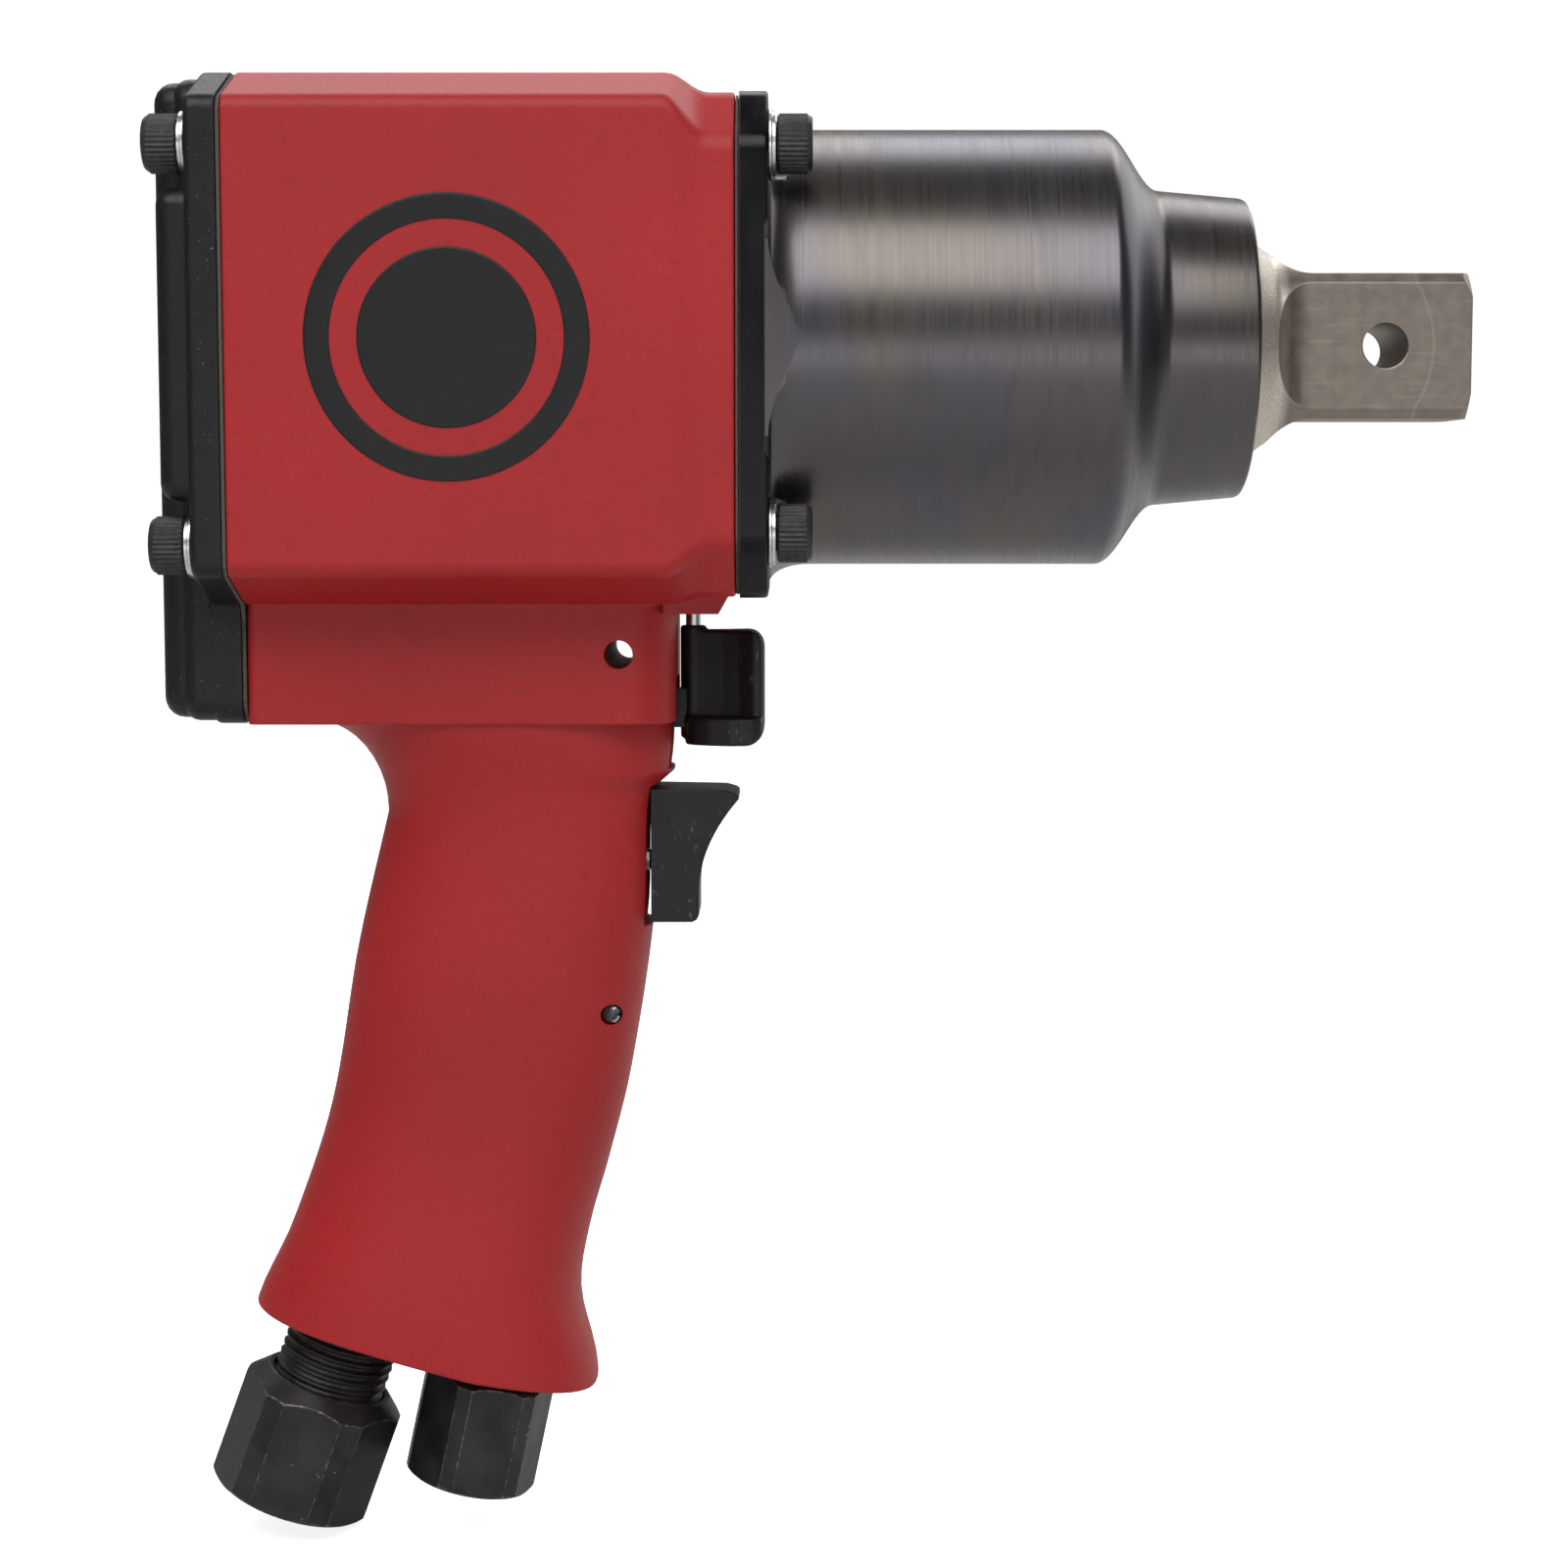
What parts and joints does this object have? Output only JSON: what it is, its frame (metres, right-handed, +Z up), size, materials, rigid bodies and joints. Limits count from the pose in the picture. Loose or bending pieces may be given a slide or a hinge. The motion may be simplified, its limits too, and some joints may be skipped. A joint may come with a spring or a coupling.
{
  "type": "pneumatic impact wrench",
  "caption": "Pistol-grip air impact wrench with a square drive, round steel hammer case, squared red motor housing, black rear cover, trigger, reverse lever and two threaded air fittings.",
  "frame": {"origin": "centre of the square drive's end face, on the spindle axis", "axes": "+X the way the drive points, along the spindle; +Z up, away from the grip; +Y to the operator's left"},
  "size_m": [0.2291, 0.0772, 0.261],
  "materials": {
    "red_paint": "fine wrinkle",
    "black_paint": "textured satin",
    "blued_steel": "turned and blued",
    "drive_steel": "hardened, lightly worn",
    "black_oxide": "black oxide",
    "zinc": "bright zinc",
    "ground_steel": "ground",
    "cast_iron": "machined",
    "aluminium": "machined",
    "bronze": "satin",
    "fibre": "matte",
    "nylon": "fine grain",
    "rubber": "matte",
    "gasket_paper": "matte"
  },
  "bodies": {
    "housing": {"motor_housing": "red_paint", "rear_cover": "black_paint", "rear_gasket": "gasket_paper", "front_gasket": "gasket_paper", "hammer_case": "blued_steel", "anvil_seal": "rubber", "anvil_bushing": "bronze", "thrust_washer": "ground_steel", "motor_cylinder": "cast_iron", "front_end_plate": "aluminium", "rear_end_plate": "aluminium", "front_bearing": "ground_steel", "rear_bearing": "ground_steel", "dowel_pin": "ground_steel", "motor_stack_spring": "rubber", "throttle_seat": "bronze", "valve_spring": "ground_steel", "spring_retainer": "bronze", "roll_pin": "ground_steel", "lever_pin": "ground_steel", "detent_ball": "ground_steel", "detent_spring": "ground_steel", "inlet_bushing": "black_oxide", "inlet_screen": "ground_steel", "exhaust_coupling": "black_oxide", "exhaust_nipple": "black_oxide", "front_screw_top_left": "black_oxide", "front_screw_top_right": "black_oxide", "front_screw_bottom_left": "black_oxide", "front_screw_bottom_right": "black_oxide", "rear_screw_top_left": "black_oxide", "rear_screw_top_right": "black_oxide", "rear_screw_bottom_left": "black_oxide", "rear_screw_bottom_right": "black_oxide", "front_washer_top_left": "zinc", "front_washer_top_right": "zinc", "front_washer_bottom_left": "zinc", "front_washer_bottom_right": "zinc", "rear_washer_top_left": "zinc", "rear_washer_top_right": "zinc", "rear_washer_bottom_left": "zinc", "rear_washer_bottom_right": "zinc"},
    "anvil": {"anvil": "drive_steel"},
    "rotor": {"rotor": "ground_steel", "vane_1": "fibre", "vane_2": "fibre", "vane_3": "fibre", "vane_4": "fibre", "vane_5": "fibre", "vane_6": "fibre", "hammer_cage": "ground_steel"},
    "hammer_pins": {"hammer_pin_a": "ground_steel", "hammer_pin_b": "ground_steel", "pin_carrier": "ground_steel", "cam_follower": "ground_steel"},
    "trigger": {"trigger": "nylon", "trigger_rod": "ground_steel"},
    "throttle_valve": {"throttle_valve": "rubber"},
    "reverse_lever": {"reverse_lever": "nylon"},
    "reverse_valve": {"reverse_valve": "bronze"}
  },
  "joints": [
    {"name": "anvil_spin", "type": "hinge", "parent": "housing", "child": "anvil", "pos_m": [0, 0, 0], "axis": [1, 0, 0], "continuous": true},
    {"name": "rotor_spin", "type": "hinge", "parent": "housing", "child": "rotor", "pos_m": [0, 0, 0], "axis": [1, 0, 0], "continuous": true},
    {"name": "hammer_pin_slide", "type": "slide", "parent": "rotor", "child": "hammer_pins", "axis": [1, 0, 0], "range_m": [0, 0.009], "stiffness_N_per_m": 600, "springref_m": -0.004},
    {"name": "trigger_slide", "type": "slide", "parent": "housing", "child": "trigger", "axis": [-1, 0, 0], "range_m": [0, 0.0055], "stiffness_N_per_m": 1500, "springref_m": -0.004},
    {"name": "throttle_tilt", "type": "hinge", "parent": "housing", "child": "throttle_valve", "pos_m": [-0.154, 0, -0.12109], "axis": [0, -1, 0], "range_deg": [0, 10.9], "deforming": ["valve_spring"]},
    {"name": "reverse_lever_turn", "type": "hinge", "parent": "housing", "child": "reverse_lever", "pos_m": [-0.1368, 0, -0.06599], "axis": [0, 0, 1], "range_deg": [-15, 15]},
    {"name": "reverse_valve_turn", "type": "hinge", "parent": "housing", "child": "reverse_valve", "pos_m": [-0.1515, 0, -0.06599], "axis": [0, 0, 1], "range_deg": [-16.5, 16.5]}
  ],
  "couplings": [
    {"joint": "throttle_tilt", "follows": "trigger_slide", "rad_per_m": 34.56},
    {"joint": "reverse_valve_turn", "follows": "reverse_lever_turn", "ratio": -1.1}
  ]
}
